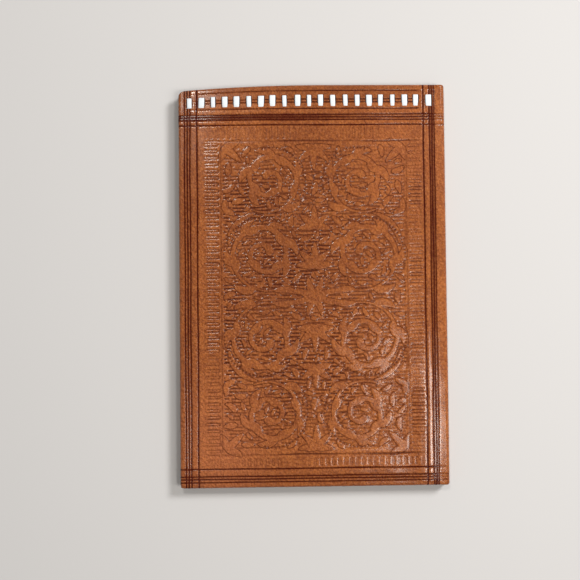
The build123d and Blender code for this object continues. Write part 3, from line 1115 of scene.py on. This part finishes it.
def slit_shadow_finish(name):
    """Painted shadow for the lace's slits: near-black, with a fibre pattern like cut leather."""
    m = Material(name)
    fibre = m.noise(m.object_place(), 4200.0, 3.0, 0.6)
    m.feed("Base Color", m.mix(m.span(fibre, 0.3, 0.75), SLIT_SHADOW_DARK, SLIT_SHADOW_LIGHT))
    m.feed("Roughness", m.span(fibre, 0.3, 0.7, 0.75, 0.95))
    return m.mat


def board(name):
    """Grey pasteboard."""
    m = Material(name)
    fibre = m.noise(m.object_place(), 2600.0, 4.0, 0.65)
    m.feed("Base Color", m.mix(m.span(fibre, 0.35, 0.7), BOARD_LIGHT, BOARD_DARK))
    m.feed("Roughness", m.span(fibre, 0.3, 0.7, 0.8, 0.95))
    m.bump(fibre, 0.3, 0.05 * MM)
    return m.mat


def floor_paint(name):
    m = Material(name)
    m.bsdf.inputs["Base Color"].default_value = (0.58, 0.585, 0.59, 1)
    m.bsdf.inputs["Roughness"].default_value = 0.7
    return m.mat


# -------- finishes
leather_mat = tooled_leather("tooled_tan_leather")
lining_mat = plain_leather("lining_leather", LINING_LIGHT, LINING_DARK, 0.5, 0.68, 2.2, 0.55)
pocket_mat = plain_leather("pocket_leather", POCKET_LIGHT, POCKET_DARK, 0.42, 0.58, 1.8, 0.7)
FINISHES = [
    ((front, back), leather_mat, "tooled_leather"),
    ((front_slit_shadows, back_slit_shadows), slit_shadow_finish("slit_shadow"), "tooled_leather"),
    ((front_lining, back_lining), lining_mat, "lining_leather"),
    ((front_pocket, back_pocket), pocket_mat, "pocket_leather"),
    ((front_lace, back_lace), white_lace("white_lace"), "lace"),
]
for pieces, mat, slot in FINISHES:
    for piece in pieces:
        piece.data.materials.append(mat)
board_mat = board("grey_board")
for node in ("front_stiffener", "back_stiffener"):
    for material_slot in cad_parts[node].material_slots:
        material_slot.material = board_mat


def across_fold(piece):
    """Bakes the piece's placement into its points."""
    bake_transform(piece)


for piece in (front, front_lining):
    across_fold(piece)
for piece in (back, back_lining):
    across_fold(piece)
for piece in (front_pocket, front_lace, front_slit_shadows):
    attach(piece, "front_cover")
for piece in (back_pocket, back_lace, back_slit_shadows):
    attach(piece, "back_cover")

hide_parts("front_leather", "spine_leather")
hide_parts("back_leather")
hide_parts("front_lining", "spine_lining")
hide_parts("back_lining")
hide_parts("front_pocket")
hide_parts("back_pocket")
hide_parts("front_lace")
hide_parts("back_lace")

# -------- floor, light and camera
FLOOR_HALF = 1500
FLOOR_Z = -0.02
corners = [(x * FLOOR_HALF, y * FLOOR_HALF, FLOOR_Z) for x, y in ((-1, -1), (1, -1), (1, 1), (-1, 1))]
floor = make_mesh("floor", corners, [(0, 1, 2, 3)], smooth=False)
floor.data.materials.append(floor_paint("pale_floor"))

world = bpy.data.worlds.new("studio")
world.use_nodes = True
world.node_tree.nodes["Background"].inputs["Color"].default_value = (1.0, 0.97, 0.93, 1)
world.node_tree.nodes["Background"].inputs["Strength"].default_value = 0.20
bpy.context.scene.world = world


def area(name, at, target, size, power, colour):
    """A rectangular light at a place in metres, aimed at the target."""
    light = bpy.data.lights.new(name, "AREA")
    light.shape = "RECTANGLE"
    light.size, light.size_y = size
    light.energy = power
    light.color = colour
    ob = bpy.data.objects.new(name, light)
    ob.location = at
    ob.rotation_euler = (Vector(target) - Vector(at)).to_track_quat("-Z", "Y").to_euler()
    bpy.context.scene.collection.objects.link(ob)


area("window", (0.56, 0.44, 0.72), (0.0, 0.0, 0.0), (0.26, 0.26), 7.4, (1.0, 0.965, 0.94))
area("side_strip", (0.25, -0.10, 0.54), (0.04, -0.03, 0.0), (0.05, 0.36), 0.9, (1.0, 0.93, 0.86))
area("glare", (0.22, -0.18, 0.77), (0.045, -0.06, 0.0), (0.10, 0.10), 1.12, (1.0, 0.94, 0.88))
area("skylight", (-0.13, 0.32, 0.78), (0.0, 0.0, 0.0), (0.08, 0.08), 1.6, (1.0, 0.93, 0.85))

camera = bpy.data.objects.new("camera", bpy.data.cameras.new("camera"))
camera.data.lens = 65.0
camera.data.sensor_width = 36.0
camera.data.clip_start = 0.01
camera.location = (-0.0218, -0.0161, 0.3914)
camera.rotation_euler = Euler((0.0369, -0.0333, -0.0100), "XYZ")
bpy.context.scene.collection.objects.link(camera)
bpy.context.scene.camera = camera
bpy.context.scene.view_settings.view_transform = "Standard"
